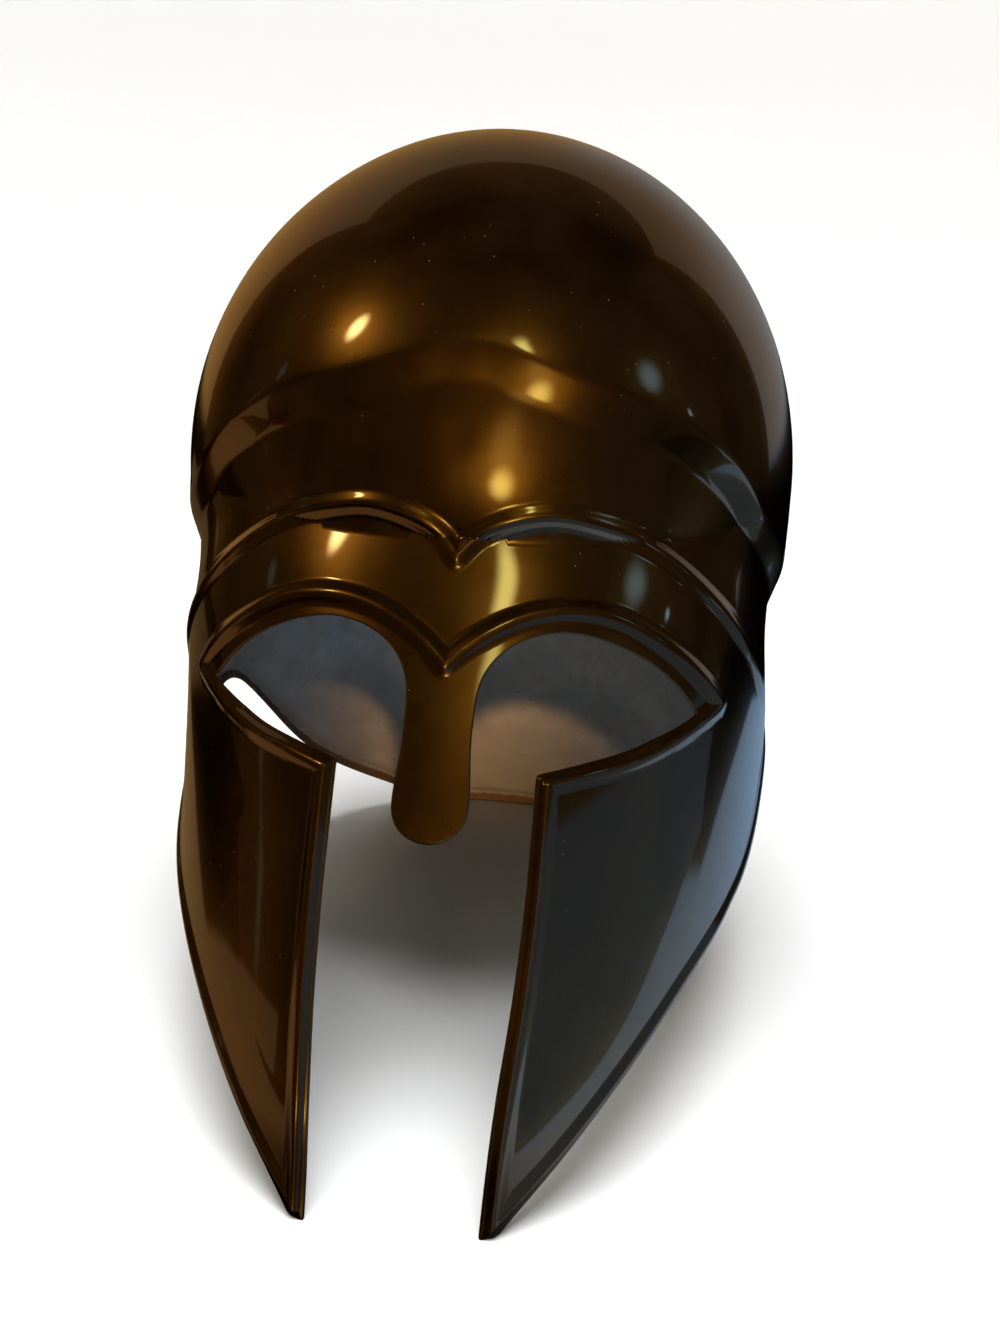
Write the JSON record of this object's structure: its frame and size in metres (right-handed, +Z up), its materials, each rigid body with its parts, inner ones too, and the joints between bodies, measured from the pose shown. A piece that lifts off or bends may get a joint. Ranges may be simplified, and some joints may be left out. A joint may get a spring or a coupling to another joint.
{
  "type": "italo-corinthian helmet",
  "caption": "Open-faced Corinthian helmet raised from one steel sheet, with doubled brow ridges, a short nasal and long cheeks, standing on its cheek tips and rear rim.",
  "frame": {"origin": "middle of the footprint, on the floor that the cheek tips and the rear rim stand on", "axes": "+Z up, the face looks along -Y, +X to the viewer's right as one faces it (the wearer's left)"},
  "size_m": [0.2242, 0.3248, 0.3085],
  "materials": {
    "browned_steel": "glossy dark brown-black lacquer over browned steel",
    "bare_steel": "dull, lightly stained bare steel inside"
  },
  "bodies": {
    "root": {"helmet_shell": "browned_steel"}
  },
  "joints": []
}
